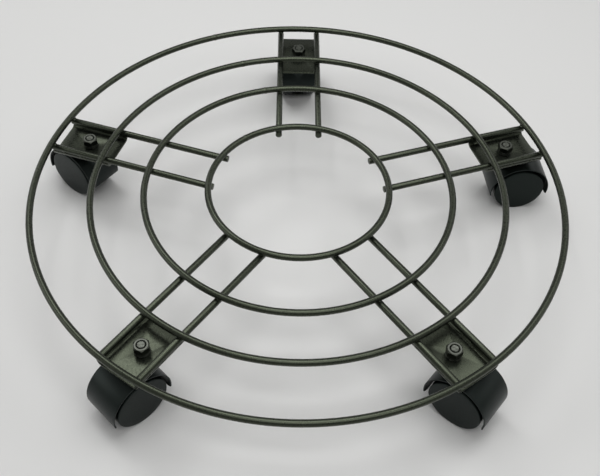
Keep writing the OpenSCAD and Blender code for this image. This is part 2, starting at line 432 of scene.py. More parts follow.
class NodeBuilder:
    """Adds shader nodes to a tree from left to right and links them."""

    def __init__(self, tree: NodeTree) -> None:
        """Keeps the tree that takes the nodes."""
        self.tree = tree

    def feed(self, value: object, socket: NodeSocket) -> None:
        """Links an input, or sets it.

        Args:
            value: A socket, a number, or three numbers of a colour or vector.
            socket: The input that takes it.
        """
        if isinstance(value, NodeSocket):
            self.tree.links.new(value, socket)
        else:
            socket.default_value = (*value, 1.0) if socket.type == "RGBA" else value

    def add(self, kind: str, inputs: dict[str | int, object] | None = None, **settings: object) -> Node:
        """Adds a node.

        Args:
            kind: Blender's name for the kind of node.
            inputs: What each named or numbered input takes.
            **settings: Settings of the node itself.

        Returns:
            The node.
        """
        node = self.tree.nodes.new(kind)
        node.location = (NODE_STEP * len(self.tree.nodes), 0)
        for key, value in settings.items():
            setattr(node, key, value)
        for key, value in (inputs or {}).items():
            self.feed(value, node.inputs[key])
        return node

    def math(self, operation: str, first: object, second: object, clamp: bool = False) -> NodeSocket:
        """Adds a Math node for two sockets or numbers, and returns its output."""
        inputs = {0: first, 1: second}
        return self.add("ShaderNodeMath", inputs, operation=operation, use_clamp=clamp).outputs[0]

    def noise(self, place: NodeSocket, scale: object, detail: float, roughness: float) -> NodeSocket:
        """Adds a Noise Texture, scaled in turns per metre, and returns its value from 0 to 1."""
        inputs = {"Vector": place, "Scale": scale, "Detail": detail, "Roughness": roughness}
        return self.add("ShaderNodeTexNoise", inputs).outputs["Fac"]

    def spread(
        self, value: NodeSocket, low: float, high: float, to_low: float = 0.0, to_high: float = 1.0
    ) -> NodeSocket:
        """Adds a Map Range node that keeps to its ends.

        Args:
            value: Socket with the value.
            low: Value that becomes to_low.
            high: Value that becomes to_high.
            to_low: What the low value becomes.
            to_high: What the high value becomes.

        Returns:
            The node's output.
        """
        labels = ("Value", "From Min", "From Max", "To Min", "To Max")
        inputs = dict(zip(labels, (value, low, high, to_low, to_high)))
        return self.add("ShaderNodeMapRange", inputs, clamp=True).outputs[0]

    def blend(self, share: NodeSocket, first: object, second: object) -> NodeSocket:
        """Adds a Mix node between two colours by the second one's share, and returns the mix."""
        inputs = {0: share, 6: first, 7: second}
        return self.add("ShaderNodeMix", inputs, data_type="RGBA").outputs[2]

    def upward(self, low: float, high: float, most: float = 1.0) -> NodeSocket:
        """Adds a share that grows with how far a face looks up.

        Args:
            low: Upward part of the normal at which the share starts.
            high: Upward part of the normal at which it is full.
            most: The full share.

        Returns:
            The share.
        """
        normal = self.add("ShaderNodeNewGeometry").outputs["Normal"]
        axes = self.add("ShaderNodeSeparateXYZ", {0: normal})
        return self.spread(axes.outputs["Z"], low, high, 0.0, most)


class Effects:
    """Shader node groups that more than one finish uses, each built once."""

    @staticmethod
    def _start(name: str, **inputs: float | Colour) -> tuple[NodeBuilder, dict[str, NodeSocket]]:
        """Starts a node group that takes a vector and the given inputs.

        Args:
            name: Name of the group.
            **inputs: Default of each other input, with _ for the spaces in its name.

        Returns:
            A builder for the group, and its inputs by the same names, with vector for the first.
        """
        tree = bpy.data.node_groups.new(name, "ShaderNodeTree")
        tree.interface.new_socket(name="Vector", in_out="INPUT", socket_type="NodeSocketVector")
        for key, default in inputs.items():
            colour = isinstance(default, tuple)
            socket = tree.interface.new_socket(
                name=key.replace("_", " ").title(),
                in_out="INPUT",
                socket_type="NodeSocketColor" if colour else "NodeSocketFloat",
            )
            socket.default_value = (*default, 1.0) if colour else default
        nodes = NodeBuilder(tree)
        given = nodes.add("NodeGroupInput").outputs
        return nodes, dict(zip(("vector", *inputs), given))

    @staticmethod
    def _finish(nodes: NodeBuilder, **results: NodeSocket) -> NodeTree:
        """Gives a node group its outputs.

        Args:
            nodes: The group's builder.
            **results: The socket that each output passes on.

        Returns:
            The group.
        """
        for label, source in results.items():
            kind = "NodeSocketColor" if source.type == "RGBA" else "NodeSocketFloat"
            nodes.tree.interface.new_socket(name=label, in_out="OUTPUT", socket_type=kind)
        nodes.add("NodeGroupOutput", results)
        return nodes.tree

    @staticmethod
    def _cover(
        nodes: NodeBuilder, given: dict[str, NodeSocket], share: NodeSocket, over: str, rise: float
    ) -> NodeTree:
        """Lays a second colour over the first and roughens it, which completes a group.

        Args:
            nodes: The group's builder.
            given: The group's inputs.
            share: How much of the second colour shows.
            over: Name of the input with the second colour.
            rise: Roughness that the full share adds.

        Returns:
            The group.
        """
        rough = nodes.math("ADD", given["roughness"], nodes.math("MULTIPLY", share, rise), clamp=True)
        colour = nodes.blend(share, given["colour"], given[over])
        return Effects._finish(nodes, Colour=colour, Roughness=rough)

    @staticmethod
    @cache
    def surface_grain() -> NodeTree:
        """Fine relief, such as orange peel in paint or the grain of a mould.

        Returns:
            A group with Coarse Scale, Fine Scale and Fine Share in, and Height and Mask out.
        """
        nodes, given = Effects._start(
            "Surface Grain", coarse_scale=400.0, fine_scale=2000.0, fine_share=0.4
        )
        place, share = given["vector"], given["fine_share"]
        coarse = nodes.noise(place, given["coarse_scale"], detail=2.0, roughness=0.5)
        fine = nodes.noise(place, given["fine_scale"], detail=3.0, roughness=0.6)
        rest = nodes.math("MULTIPLY", coarse, nodes.math("SUBTRACT", 1.0, share))
        height = nodes.math("ADD", rest, nodes.math("MULTIPLY", fine, share))
        return Effects._finish(nodes, Height=height, Mask=nodes.spread(coarse, 0.35, 0.65))

    @staticmethod
    @cache
    def settled_dust() -> NodeTree:
        """A thin film of dust that lies on what faces upwards.

        Returns:
            A group with Colour, Roughness, Dust Colour, Amount and Scale in, and Colour and
            Roughness out.
        """
        nodes, given = Effects._start(
            "Settled Dust",
            colour=(0.02, 0.02, 0.02),
            roughness=0.4,
            dust_colour=(0.2, 0.19, 0.16),
            amount=0.2,
            scale=60.0,
        )
        cloud = nodes.noise(given["vector"], given["scale"], detail=5.0, roughness=0.65)
        patches = nodes.spread(cloud, 0.25, 0.75, to_low=0.35)
        film = nodes.math("MULTIPLY", nodes.upward(0.35, 0.95), patches)
        share = nodes.math("MULTIPLY", film, given["amount"], clamp=True)
        return Effects._cover(nodes, given, share, "dust_colour", 0.5)

    @staticmethod
    @cache
    def handling_marks() -> NodeTree:
        """Rubbed patches and short scratches from handling.

        Returns:
            A group with Colour, Roughness, Mark Colour, Amount and Scale in, and Colour and
            Roughness out.
        """
        nodes, given = Effects._start(
            "Handling Marks",
            colour=(0.02, 0.02, 0.02),
            roughness=0.4,
            mark_colour=(0.1, 0.1, 0.09),
            amount=0.3,
            scale=120.0,
        )
        place = given["vector"]
        long_way = nodes.add(
            "ShaderNodeMapping",
            {"Vector": place, "Rotation": (0.4, 0.7, 0.3), "Scale": (1.0, 7.0, 1.0)},
        ).outputs[0]
        streaks = nodes.noise(long_way, given["scale"], detail=6.0, roughness=0.7)
        patches = nodes.noise(place, 35.0, detail=3.0, roughness=0.5)
        marks = nodes.math(
            "MULTIPLY", nodes.spread(streaks, 0.60, 0.72), nodes.spread(patches, 0.45, 0.65)
        )
        share = nodes.math("MULTIPLY", marks, given["amount"], clamp=True)
        return Effects._cover(nodes, given, share, "mark_colour", 0.3)


@dataclass(frozen=True)
class Dress:
    """A built material, with the record's slot that it belongs to."""

    material: Material
    slot: str


@dataclass(frozen=True)
class Finish:
    """A surface finish: one base colour with grain, marks, dust and a painted highlight over it."""

    name: str
    slot: str
    colour: Colour
    second_colour: Colour
    roughness: float
    metallic: float = 0.0
    specular: float = 0.5
    specular_tint: Colour = (1.0, 1.0, 1.0)
    cloud_scale: float = 25.0
    coarse_scale: float = 900.0
    fine_scale: float = 3000.0
    fine_share: float = 0.5
    relief: float = 0.010
    rough_spread: float = 0.08
    # Painted highlight: a lighter colour on faces that look up, standing in for light from above.
    painted_highlight_colour: Colour = (0.088, 0.095, 0.083)
    painted_highlight_facing: tuple[float, float] = (0.90, 0.96)
    painted_highlight: float = 0.0
    mark_colour: Colour = (0.10, 0.10, 0.09)
    marks: float = 0.0
    dust_colour: Colour = (0.20, 0.195, 0.165)
    dust: float = 0.02

    def _colour(self, nodes: NodeBuilder, place: NodeSocket) -> NodeSocket:
        """Clouds the two base colours, and paints upward faces a lighter colour as a painted highlight.

        Args:
            nodes: Builder for the material's tree.
            place: The coordinates.

        Returns:
            The colour.
        """
        cloud = nodes.noise(place, self.cloud_scale, detail=4.0, roughness=0.6)
        colour = nodes.blend(nodes.spread(cloud, 0.3, 0.7), self.colour, self.second_colour)
        # Painted highlight: upward faces get the lighter colour, as if lit from above.
        if self.painted_highlight:
            colour = nodes.blend(nodes.upward(*self.painted_highlight_facing, self.painted_highlight), colour, self.painted_highlight_colour)
        return colour

    def build(self) -> Dress:
        """Makes the material.

        Returns:
            The material with its slot.
        """
        material = bpy.data.materials.new(self.name)
        material.use_nodes = True
        material.node_tree.nodes.clear()
        nodes = NodeBuilder(material.node_tree)
        place = nodes.add("ShaderNodeTexCoord").outputs["Object"]
        grain = nodes.add(
            "ShaderNodeGroup",
            {
                "Vector": place,
                "Coarse Scale": self.coarse_scale,
                "Fine Scale": self.fine_scale,
                "Fine Share": self.fine_share,
            },
            node_tree=Effects.surface_grain(),
        ).outputs
        half = self.rough_spread / 2
        ends = (self.roughness - half, self.roughness + half)
        marked = nodes.add(
            "ShaderNodeGroup",
            {
                "Vector": place,
                "Colour": self._colour(nodes, place),
                "Roughness": nodes.spread(grain["Mask"], 0.0, 1.0, *ends),
                "Mark Colour": self.mark_colour,
                "Amount": self.marks,
            },
            node_tree=Effects.handling_marks(),
        ).outputs
        dusted = nodes.add(
            "ShaderNodeGroup",
            {
                "Vector": place,
                "Colour": marked["Colour"],
                "Roughness": marked["Roughness"],
                "Dust Colour": self.dust_colour,
                "Amount": self.dust,
            },
            node_tree=Effects.settled_dust(),
        ).outputs
        bump = nodes.add(
            "ShaderNodeBump",
            {"Height": grain["Height"], "Distance": self.relief * MM, "Strength": 1.0},
        ).outputs
        shader = nodes.add(
            "ShaderNodeBsdfPrincipled",
            {
                "Base Color": dusted["Colour"],
                "Roughness": dusted["Roughness"],
                "Normal": bump["Normal"],
                "Metallic": self.metallic,
                "Specular IOR Level": self.specular,
                "Specular Tint": self.specular_tint,
            },
        )
        nodes.add("ShaderNodeOutputMaterial", {"Surface": shader.outputs[0]})
        return Dress(material, self.slot)


class Finishes:
    """The finishes of the caddy, as built materials."""

    def __init__(self) -> None:
        """Builds each finish once."""
        self.paint = Finish(
            name="black_paint",
            slot="frame_paint",
            colour=(0.0028, 0.0036, 0.0028),
            second_colour=(0.0038, 0.0048, 0.0038),
            roughness=0.29,
            specular=0.62,
            specular_tint=(0.88, 1.0, 0.72),
            coarse_scale=420.0,
            fine_scale=1800.0,
            fine_share=0.25,
            relief=0.003,
            marks=0.10,
        ).build()
        dull = Finish(
            name="dull_zinc",
            slot="zinc_steel",
            colour=(0.030, 0.034, 0.029),
            second_colour=(0.022, 0.025, 0.021),
            roughness=0.38,
            metallic=1.0,
            fine_scale=4000.0,
            mark_colour=(0.10, 0.09, 0.07),
            marks=0.4,
            dust=0.15,
        )
        self.dull_zinc = dull.build()
        # The nuts and stems get a painted highlight on their upward faces.
        self.zinc_with_painted_highlight = replace(dull, name="zinc_with_painted_highlight", painted_highlight=1.0).build()
        self.hood = Finish(
            name="hood_plastic",
            slot="hood_plastic",
            colour=(0.0026, 0.0044, 0.0040),
            second_colour=(0.0034, 0.0054, 0.0049),
            roughness=0.36,
            specular=0.25,
            specular_tint=(0.84, 1.0, 0.95),
            coarse_scale=1100.0,
            fine_scale=3500.0,
            relief=0.008,
            marks=0.08,
        ).build()
        self.wheel = Finish(
            name="wheel_plastic",
            slot="wheel_plastic",
            colour=(0.0026, 0.0046, 0.0041),
            second_colour=(0.0034, 0.0056, 0.0050),
            roughness=0.36,
            specular=0.19,
            specular_tint=(0.78, 1.0, 0.91),
            marks=0.15,
        ).build()


@dataclass
class Assembly:
    """A set of pieces, made to the caddy's sizes in its finishes."""

    sizes: CaddySizes
    finishes: Finishes

    @staticmethod
    def show(
        name: str,
        mesh: Mesh,
        dress: Dress,
        place: Matrix = Matrix.Identity(4),
        node: str = "",
        body: str = "frame",
    ) -> None:
        """Puts a piece into the scene.

        Args:
            name: Name of the piece.
            mesh: Its mesh, which several pieces may share.
            dress: Its material and slot.
            place: Its place in the row frame.
            node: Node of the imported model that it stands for, if any.
            body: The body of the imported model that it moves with.
        """
        piece = bpy.data.objects.new(name, mesh)
        bpy.context.scene.collection.objects.link(piece)
        mesh.materials.clear()
        mesh.materials.append(dress.material)
        piece.matrix_world = place
        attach(piece, body)
        if node:
            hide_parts(node)
        LOG.info("%s: %d faces on %s", name, len(mesh.polygons), body)


@dataclass
class HoopSet(Assembly):
    """The four hoops, each a bar bent round and butt welded."""

    steps: int = 288
    seam_turn: dict[Hoop, float] = field(
        default_factory=lambda: dict(zip(Hoop, (112.0, 108.0, 104.0, 128.0)))
    )
    seam_half: float = 1.6
    seam_proud: float = 0.22
    seam_step: float = 0.4
    seam_steps: int = 6
    seam_clear: float = 1.3

    def _turns(self, radius: float) -> list[float]:
        """Angles of the rows round a hoop, closer together at its seam.

        Args:
            radius: The hoop's radius.

        Returns:
            The angles in radians, from the seam round to it again.
        """
        rows = range(-self.seam_steps, self.seam_steps + 1)
        near = [k * self.seam_step / radius for k in rows]
        clear = near[-1] * self.seam_clear
        rest = [math.tau * k / self.steps for k in range(1, self.steps)]
        return near + [a for a in rest if clear < a < math.tau - clear]

    def mesh(self, hoop: Hoop) -> Mesh:
        """Makes a hoop with the low ridge of its butt weld.

        Args:
            hoop: The hoop.

        Returns:
            Its mesh.
        """
        big, sides = self.sizes.hoop_radius[hoop], Grade.BAR.value
        rows = []
        for angle in self._turns(big):
            along = abs(math.remainder(angle, math.tau)) * big / self.seam_half
            r = self.sizes.bar_radius + self.seam_proud * max(0.0, 1 - along * along)
            section = MeshWork.arc((big, self.sizes.hoop_z), r, 0, 360, sides)[:-1]
            a = angle + math.radians(self.seam_turn[hoop])
            rows.append([polar(out, a, z) for out, z in section])
        return MeshWork.loft(f"{hoop.value}_bar", rows, joined=True)

    def build(self) -> None:
        """Shows the four hoops."""
        for hoop in Hoop:
            name = hoop.value
            self.show(f"{name}_bar", self.mesh(hoop), self.finishes.paint, node=name)


@dataclass
class RodPairs(Assembly):
    """The five pairs of radial rods, with sheared ends."""

    end_round: float = 0.35
    crease: float = 35.0

    def mesh(self) -> Mesh:
        """Makes one rod along X, on the line between the centre and its leg.

        Returns:
            The mesh.
        """
        s = self.sizes
        start, end = s.rod_start, s.crossing(Hoop.OUTER)
        profile = [
            (0, start),
            *MeshWork.edge(s.bar_radius, start, self.end_round, 1),
            *MeshWork.edge(s.bar_radius, end, self.end_round, -1),
            (0, end),
        ]
        mesh = MeshWork.lathe("rod_bar", profile, Grade.BAR, self.crease)
        return MeshWork.moved(mesh, shift(0, 0, s.rod_z) @ turn(90, "Y"))

    def build(self) -> None:
        """Shows the ten rods."""
        mesh = self.mesh()
        for leg in Leg:
            for side in Side:
                place = self.sizes.leg_place(leg) @ shift(0, side.value * self.sizes.rod_offset, 0)
                node = f"rod_{leg.value}_{side.word}"
                self.show(f"{node}_bar", mesh, self.finishes.paint, place, node)


@dataclass
class WeldBeads(Assembly):
    """Squeezed metal where the bars cross, and tacks between rods and brackets."""

    cross_half: tuple[float, float, float] = (2.5, 2.5, 1.0)
    tack_half: tuple[float, float, float] = (3.2, 0.9, 0.9)
    tack_places: tuple[float, ...] = (-21.0, -3.0, 17.0)
    tack_slip: float = 1.5
    inner_seat: tuple[float, float] = (-0.1, -0.35)
    outer_seat: tuple[float, float] = (2.3, 0.45)
    lumps: float = 0.16
    waves: tuple[float, float, float, float] = (5.1, 4.3, 9.7, 7.9)
    side_phase: float = 2.3
    slip_phase: float = 4.0
    tack_phase: float = 1.7
    inner_phase: float = 3.0

    def bead(self, half: tuple[float, float, float], phase: float) -> Mesh:
        """Makes one lumpy bead about its own centre.

        Args:
            half: Half of its size along X, Y and Z.
            phase: Shifts its lumps, so that beads differ.

        Returns:
            The mesh.
        """
        a, b, c, d = self.waves
        bm = bmesh.new()
        bmesh.ops.create_icosphere(bm, subdivisions=3, radius=1.0)
        for vert in bm.verts:
            x, y, z = vert.co
            swell = 1 + self.lumps * math.sin(a * x + phase) * math.cos(b * y + 2 * phase)
            swell += self.lumps / 2 * math.sin(c * x - phase) * math.sin(d * z + phase)
            vert.co = Vector((x * half[0], y * half[1], z * half[2])) * swell
        return MeshWork.to_mesh("bead", bm)

    def crossings(self, hoop: Hoop) -> Mesh:
        """Makes the beads where one hoop crosses the ten rods.

        Args:
            hoop: The hoop.

        Returns:
            One mesh with ten beads.
        """
        s = self.sizes
        along = s.crossing(hoop) - (self.cross_half[0] / 2 if hoop is Hoop.OUTER else 0)
        parts = []
        for leg in Leg:
            for side in Side:
                phase = leg.value + self.side_phase * side.value + s.hoop_radius[hoop]
                bead = self.bead(self.cross_half, phase)
                spot = shift(along, side.value * s.rod_offset, (s.rod_z + s.hoop_z) / 2)
                parts.append((bead, s.leg_place(leg) @ spot))
        return MeshWork.joined(f"{hoop.value}_welds", parts)

    def tacks(self, leg: Leg) -> Mesh:
        """Makes the tacks between a pair of rods and their bracket, in the leg's frame.

        Args:
            leg: The leg.

        Returns:
            One mesh with all tacks of the leg.
        """
        s = self.sizes
        seats = ((self.inner_seat, self.inner_phase), (self.outer_seat, 0.0))
        parts = []
        for side in Side:
            for k, place in enumerate(self.tack_places):
                slip = self.tack_slip * math.sin(self.slip_phase * k + leg.value + side.value)
                for (out, up), more in seats:
                    bead = self.bead(self.tack_half, self.tack_phase * k + leg.value + more)
                    y, z = side.value * (s.rod_offset + out), s.rod_z - s.bar_radius + up
                    parts.append((bead, shift(s.stem_x + place + slip, y, z)))
        return MeshWork.joined(f"bracket_{leg.value}_tacks", parts)

    def build(self) -> None:
        """Shows the beads of every hoop and the tacks of every bracket."""
        for hoop in Hoop:
            self.show(f"{hoop.value}_welds", self.crossings(hoop), self.finishes.paint)
        for leg in Leg:
            place = self.sizes.leg_place(leg)
            self.show(f"bracket_{leg.value}_tacks", self.tacks(leg), self.finishes.paint, place)


@dataclass
class Brackets(Assembly):
    """The pressed steel channels under the rods."""

    length: float = 60.0
    wall_in: float = 20.5
    bend: float = 3.6
    wall_straight: float = 0.6
    bend_steps: int = 10
    edge: float = 0.35
    edge_steps: int = 3
    cut_past: float = 5.0

    def outline(self) -> Profile:
        """Cross-section of the channel, across it and up from its underside.

        Returns:
            The closed outline.
        """
        steel, steps = self.sizes.steel, self.bend_steps
        wall_out, mid, high = self.wall_in + steel, self.wall_in - self.bend, steel + self.bend
        top, outer = high + self.wall_straight, self.bend + steel
        return [
            (-wall_out, top),
            *MeshWork.arc((-mid, high), outer, 180, 270, steps),
            *MeshWork.arc((mid, high), outer, 270, 360, steps),
            (wall_out, top),
            (self.wall_in, top),
            *MeshWork.arc((mid, high), self.bend, 360, 270, steps),
            *MeshWork.arc((-mid, high), self.bend, 270, 180, steps),
            (-self.wall_in, top),
        ]

    def mesh(self) -> Mesh:
        """Makes the channel about the stem's axis, with X outwards and Z from the floor.

        Returns:
            The mesh.
        """
        s = self.sizes
        half = self.length / 2
        body = MeshWork.extrude("bracket_channel", self.outline(), -half, half)
        lay = Matrix(((0, 0, 1, 0), (1, 0, 0, 0), (0, 1, 0, 0), (0, 0, 0, 1)))
        MeshWork.moved(body, shift(0, 0, s.bracket_z) @ lay)
        low, high = s.bracket_z - self.cut_past, s.floor_top + self.cut_past
        hole = MeshWork.rod("hole", s.hole_radius, low, high, Grade.HOLE)
        body = MeshWork.combined(body, hole, "DIFFERENCE")
        return MeshWork.rounded(body, self.edge, self.edge_steps)

    def build(self) -> None:
        """Shows the five brackets."""
        mesh = self.mesh()
        for leg in Leg:
            node = f"bracket_{leg.value}"
            place = self.sizes.stem_place(leg)
            self.show(f"{node}_channel", mesh, self.finishes.paint, place, node)


@dataclass
class Fasteners(Assembly):
    """Flat and spring washers, hexagon nuts, caster stems and their clips."""

    thread_gap: float = 0.03
    washer_radius: float = 7.0
    washer_edge: float = 0.3
    spring_radius: float = 6.7
    spring_edge: float = 0.25
    spring_mouth: float = 1.2
    spring_slant: float = 25.0
    nut_half: float = 6.5
    face_inset: float = 0.55
    corner_angle: float = 30.0
    corner_steps: int = 6
    countersink: float = 0.6
    hex_half: float = 7.0
    hex_inset: float = 0.1
    hex_h: float = 2.5
    spigot_z: float = 38.0
    spigot_chamfer: float = 0.8
    clip_z: float = 53.2
    clip_h: float = 1.0
    clip_w: float = 1.4
    clip_gap: float = 0.03
    clip_mouth: float = 60.0
    clip_steps: int = 60
    groove_radius: float = 3.2
    stem_proud: float = 0.2
    stem_chamfer: float = 0.9
    end_rings: Profile = field(
        default_factory=lambda: [(0.35, 0.05), (0.9, 0.0), (1.6, -0.04), (2.3, -0.02)]
    )
    lobe_height: float = 0.10
    lobe_count: int = 3
    lobe_phase: float = 0.6
    lobe_level: float = 0.4
    lobe_margin: float = 0.1
    crease: float = 25.0
    steel_crease: float = 30.0
    stem_crease: float = 28.0

    @staticmethod
    def hexagon(half: float, angle: float) -> float:
        """Distance from a hexagon's centre to its edge, at an angle in radians from a corner."""
        sixth = math.pi / 3
        return half / math.cos((angle % sixth) - sixth / 2)

    def hex_rows(self, half: float, inset: float, low: float, high: float) -> list[Row]:
        """Makes the rows of a hexagonal form whose corners are turned down at both ends.

        Args:
            half: Half of the width across flats.
            inset: How far its round end faces stay inside its flats.
            low: Height of its lower face.
            high: Height of its upper face.

        Returns:
            The rows of points, from the lower face up.
        """
        slope = math.tan(math.radians(self.corner_angle))
        face, steps = half - inset, self.corner_steps
        drop = (self.hexagon(half, 0) - face) * slope
        drops = sorted({drop * k / steps for k in range(steps + 1)} | {inset * slope})
        levels = [(low + d, face + d / slope) for d in drops]
        levels += [(high - d, face + d / slope) for d in reversed(drops)]
        reach = [(a, self.hexagon(half, a)) for a in Grade.FINE.angles]
        return [[polar(min(flat, limit), a, z) for a, flat in reach] for z, limit in levels]

    def nut(self) -> Mesh:
        """Makes a hexagon nut about the stem's axis, with a countersink at each end.

        Returns:
            The mesh.
        """
        s = self.sizes
        low, top, sink = s.nut_z, s.nut_top, self.countersink
        rows = self.hex_rows(self.nut_half, self.face_inset, low, top)
        bore = s.stem_radius + self.thread_gap
        wide = bore + sink
        inside = ((wide, top), (bore, top - sink), (bore, low + sink), (wide, low))
        rows += [MeshWork.ring(r, z, Grade.FINE) for r, z in inside]
        return MeshWork.loft("hexagon_nut", rows, True, self.crease)

    def washer(self) -> Mesh:
        """Makes a flat washer about the stem's axis.

        Returns:
            The mesh.
        """
        s = self.sizes
        low, high, hole = s.floor_top, s.spring_z, s.hole_radius
        e, r = self.washer_edge, self.washer_radius
        profile = [(hole, low), (r - e, low), (r, low + e), *MeshWork.edge(r, high, e, -1), (hole, high)]
        return MeshWork.lathe("washer", profile, Grade.FINE, self.steel_crease)

    def spring_washer(self) -> Mesh:
        """Makes a slit spring washer about the stem's axis, pressed flat.

        Returns:
            The mesh.
        """
        s = self.sizes
        low, high, hole = s.spring_z, s.nut_z, s.hole_radius
        e, r = self.spring_edge, self.spring_radius
        section = [(hole, low), (r - e, low), (r, low + e), (r, high - e), (r - e, high), (hole, high)]
        mid, mouth = (hole + r) / 2, self.spring_mouth / 2
        slope = math.tan(math.radians(self.spring_slant))
        steps = Grade.FINE.value
        rows = []
        for k in range(steps + 1):
            row = []
            for radius, z in section:
                lean = slope * (z - (low + high) / 2)
                start = math.atan2(mouth - lean, mid)
                end = math.tau - math.atan2(mouth + lean, mid)
                row.append(polar(radius, start + (end - start) * k / steps, z))
            rows.append(row)
        return MeshWork.loft("spring_washer", rows, crease=self.steel_crease)

    def clip(self) -> Mesh:
        """Makes the open clip that keeps a caster on its stem.

        Returns:
            The mesh.
        """
        low, high = self.clip_z, self.clip_z + self.clip_h
        r_in, r_out = self.groove_radius + self.clip_gap, self.groove_radius + self.clip_w
        section = [(r_in, low), (r_out, low), (r_out, high), (r_in, high)]
        start = self.clip_mouth / 2
        rows = []
        for x, y in MeshWork.arc((0, 0), 1, start, 360 - start, self.clip_steps):
            rows.append([Vector((r * x, r * y, z)) for r, z in section])
        return MeshWork.loft("stem_clip", rows, crease=self.steel_crease)

    def shaft(self) -> Mesh:
        """Makes the round part of a stem, with the clip's groove and its cropped upper end.

        Returns:
            The mesh.
        """
        s = self.sizes
        r, g, foot = s.stem_radius, self.groove_radius, self.spigot_chamfer
        top, face = s.nut_top + self.stem_proud, r - self.stem_chamfer
        low, high = self.clip_z - self.clip_gap, self.clip_z + self.clip_h + self.clip_gap
        profile: Profile = [
            (0, self.spigot_z),
            (r - foot, self.spigot_z),
            (r, self.spigot_z + foot),
            (r, low),
            (g, low),
            (g, high),
            (r, high),
            (r, top - self.stem_chamfer),
            (face, top),
            *((face - inward, top + up) for inward, up in self.end_rings),
            (0, top),
        ]
        mesh = MeshWork.lathe("shaft", profile, Grade.FINE, self.crease)
        for vert in mesh.vertices:
            x, y, z = vert.co / MM
            out = math.hypot(x, y)
            if z > top - self.lobe_margin and out < face - self.lobe_margin:
                lobe = math.cos(self.lobe_count * math.atan2(y, x) + self.lobe_phase) * out / face
                vert.co.z += self.lobe_height * (lobe - self.lobe_level) * MM
        return mesh

    def stem(self) -> Mesh:
        """Makes a caster stem about its axis: spigot, hexagonal collar and plain upper end.

        Returns:
            The mesh.
        """
        top = self.sizes.bracket_z
        rows = self.hex_rows(self.hex_half, self.hex_inset, top - self.hex_h, top)
        collar = MeshWork.loft("collar", rows, crease=self.stem_crease)
        return MeshWork.smooth(MeshWork.combined(self.shaft(), collar, "UNION"), self.stem_crease)

    def build(self) -> None:
        """Shows the washers, nuts, clips and stems."""
        places = [self.sizes.stem_place(leg) for leg in Leg]
        turned = [place @ turn(self.sizes.nut_turns[leg]) for leg, place in zip(Leg, places)]
        dull, highlit_zinc = self.finishes.dull_zinc, self.finishes.zinc_with_painted_highlight
        groups = (
            ("washers", self.washer(), places, dull),
            ("spring_washers", self.spring_washer(), places, dull),
            ("nuts", self.nut(), turned, highlit_zinc),
            ("stem_clips", self.clip(), places, dull),
        )
        for node, mesh, spots, dress in groups:
            name = f"{node}_detailed"
            group = MeshWork.joined(name, [(mesh, spot) for spot in spots], self.crease)
            self.show(name, group, dress, node=node)
        stem = self.stem()
        for leg, place in zip(Leg, places):
            node = f"stem_{leg.value}"
            self.show(f"{node}_turned", stem, highlit_zinc, place, node)


